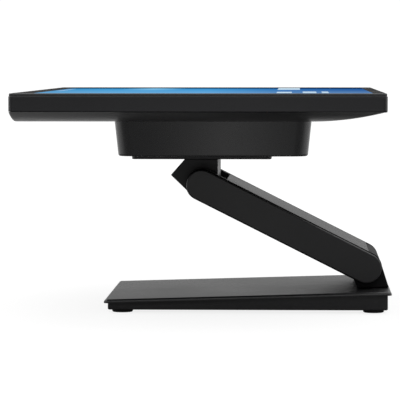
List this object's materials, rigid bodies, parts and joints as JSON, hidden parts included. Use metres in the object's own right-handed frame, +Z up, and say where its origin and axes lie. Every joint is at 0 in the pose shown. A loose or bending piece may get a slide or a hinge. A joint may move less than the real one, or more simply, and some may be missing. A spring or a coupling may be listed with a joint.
{
  "type": "all in one pc",
  "caption": "All in one touch computer on a folding two-hinge desk stand, with a glass-fronted display lying flat over a weighted base.",
  "frame": {"origin": "middle of the footprint, on the surface that the feet stand on", "axes": "+X to the right of the screen as its user sees it, -Y towards the user, +Y to the lower hinge, +Z up"},
  "size_m": [0.454, 0.278, 0.169],
  "materials": {
    "black_plastic": "fine satin moulded texture",
    "black_metal": "satin black powder coat",
    "cover_glass": "polished, black printed border round a lit panel",
    "panel_black": "gloss",
    "white_plastic": "matte",
    "clear_plastic": "clear gloss",
    "rubber": "matte",
    "steel": "zinc plated",
    "socket_metal": "nickel plated",
    "aluminium": "as cast or rolled",
    "copper": "copper, satin",
    "circuit_board": "solder mask over laminate"
  },
  "bodies": {
    "base": {"base_cover": "black_metal", "base_tray": "black_plastic", "base_ballast": "steel", "arm_hinge_block": "black_metal", "foot_front_left": "rubber", "foot_front_right": "rubber", "foot_rear_left": "rubber", "foot_rear_right": "rubber", "hinge_block_screw_left": "steel", "hinge_block_screw_right": "steel"},
    "arm": {"arm_cheek_left": "black_plastic", "arm_cheek_right": "black_plastic", "tilt_bearing_left": "black_plastic", "tilt_bearing_right": "black_plastic", "arm_top_cover": "black_plastic", "arm_bottom_cover": "black_plastic", "arm_crossbeam": "aluminium", "arm_hinge_shaft": "steel", "arm_washer_left": "steel", "arm_washer_right": "steel"},
    "tilt_shaft": {"tilt_hinge_shaft": "steel", "tilt_washer_left": "steel", "tilt_washer_right": "steel"},
    "head": {"cover_glass": "cover_glass", "glass_gasket": "rubber", "side_frame": "black_metal", "rear_cover": "black_plastic", "computer_housing": "black_plastic", "mounting_plate": "black_metal", "vesa_stiffener": "steel", "vesa_screw_1": "steel", "vesa_screw_2": "steel", "vesa_screw_3": "steel", "vesa_screw_4": "steel", "tilt_knuckle": "black_metal", "lcd_cell": "panel_black", "diffuser_films": "white_plastic", "light_guide": "clear_plastic", "led_bar": "white_plastic", "panel_tray": "steel", "chassis_plate": "steel", "display_cable": "copper", "main_board": "circuit_board", "processor": "panel_black", "cold_plate": "copper", "memory_module": "circuit_board", "ssd_module": "circuit_board", "video_port": "socket_metal", "network_port": "socket_metal", "usb_stack_left": "socket_metal", "usb_stack_right": "socket_metal", "power_inlet": "black_plastic", "fin_stack": "aluminium", "blower_housing": "black_plastic", "heat_pipe": "copper", "speaker_left": "black_plastic", "speaker_right": "black_plastic"},
    "power_button": {"power_button": "black_plastic"},
    "blower_rotor": {"blower_rotor": "black_plastic"}
  },
  "joints": [
    {"name": "arm_lift", "type": "hinge", "parent": "base", "child": "arm", "pos_m": [0, 0.1202, 0.0325], "axis": [-1, 0, 0], "range_deg": [0, 50]},
    {"name": "shaft_turn", "type": "hinge", "parent": "arm", "child": "tilt_shaft", "pos_m": [0, -0.007, 0.0965], "axis": [1, 0, 0], "range_deg": [0, 70]},
    {"name": "head_tilt", "type": "hinge", "parent": "tilt_shaft", "child": "head", "pos_m": [0, -0.007, 0.0965], "axis": [1, 0, 0], "range_deg": [0, 60]},
    {"name": "power_press", "type": "slide", "parent": "head", "child": "power_button", "axis": [0, 1, 0], "range_m": [0, 0.001], "stiffness_N_per_m": 1500, "springref_m": -0.0003},
    {"name": "blower_spin", "type": "hinge", "parent": "head", "child": "blower_rotor", "pos_m": [0.108, 0.004, 0.134], "axis": [0, 0, 1], "continuous": true}
  ],
  "couplings": [
    {"joint": "shaft_turn", "follows": "arm_lift", "ratio": 1.4}
  ]
}
